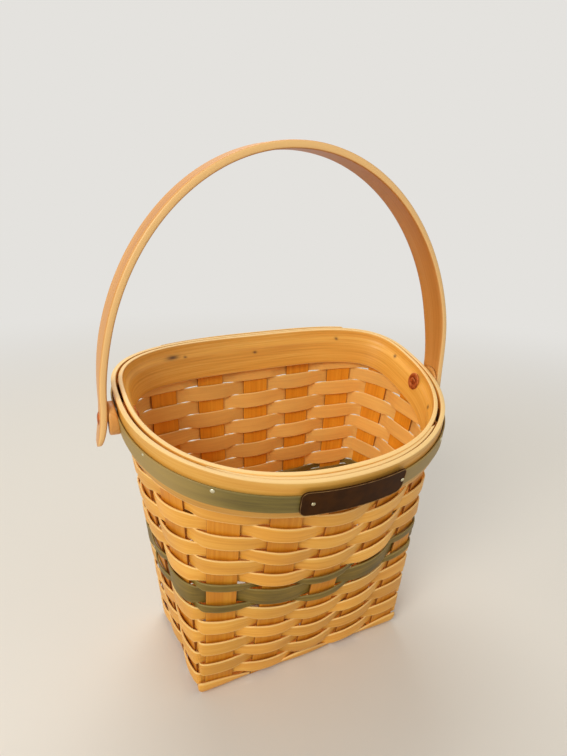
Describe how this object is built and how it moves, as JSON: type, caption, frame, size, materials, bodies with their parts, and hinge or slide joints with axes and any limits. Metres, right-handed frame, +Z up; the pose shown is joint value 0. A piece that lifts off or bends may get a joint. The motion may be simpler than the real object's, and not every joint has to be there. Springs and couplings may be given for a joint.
{
  "type": "woven splint basket",
  "caption": "Woven splint basket with a flat back, bowed front, rim sloping down to the front, green accent rows and a swinging wooden bail on riveted bushings.",
  "frame": {"origin": "on the surface the basket stands on, under the middle of its bounding box", "axes": "+Z up, +Y towards the flat back, -Y towards the bowed front, +X to the right seen from the front"},
  "size_m": [0.2244, 0.1408, 0.3217],
  "materials": {
    "weaver": "satin",
    "upright_splint": "satin",
    "green_weaver": "satin stain",
    "bent_hardwood": "satin",
    "copper": "aged copper",
    "plate": "dark bronze"
  },
  "bodies": {
    "basket": {"front_back_splint_1": "upright_splint", "front_back_splint_2": "upright_splint", "front_back_splint_3": "upright_splint", "front_back_splint_4": "upright_splint", "front_back_splint_5": "upright_splint", "side_splint_1": "upright_splint", "side_splint_2": "upright_splint", "side_splint_3": "upright_splint", "lower_row_1": "weaver", "lower_row_2": "weaver", "lower_row_3": "weaver", "lower_row_4": "weaver", "lower_row_5": "weaver", "lower_row_6": "weaver", "lower_row_7": "weaver", "stripe_lower": "green_weaver", "stripe_wide": "green_weaver", "stripe_upper": "green_weaver", "upper_row_1": "weaver", "upper_row_2": "weaver", "upper_row_3": "weaver", "upper_row_4": "weaver", "upper_row_5": "weaver", "upper_row_6": "weaver", "upper_row_7": "weaver", "upper_row_8": "weaver", "back_row_1": "weaver", "back_row_2": "weaver", "outer_band": "bent_hardwood", "inner_band": "bent_hardwood", "trim_strip": "green_weaver", "name_plate": "plate", "bushing_left": "bent_hardwood", "bushing_right": "bent_hardwood", "burr_left": "copper", "burr_right": "copper", "rivet_left": "copper", "rivet_right": "copper"},
    "bail": {"bail": "bent_hardwood"}
  },
  "joints": [
    {"name": "bail_swing", "type": "hinge", "parent": "basket", "child": "bail", "pos_m": [0, 0.01222, 0.17535], "axis": [0.9963, -0.0854, 0], "range_deg": [-140, 146]}
  ]
}
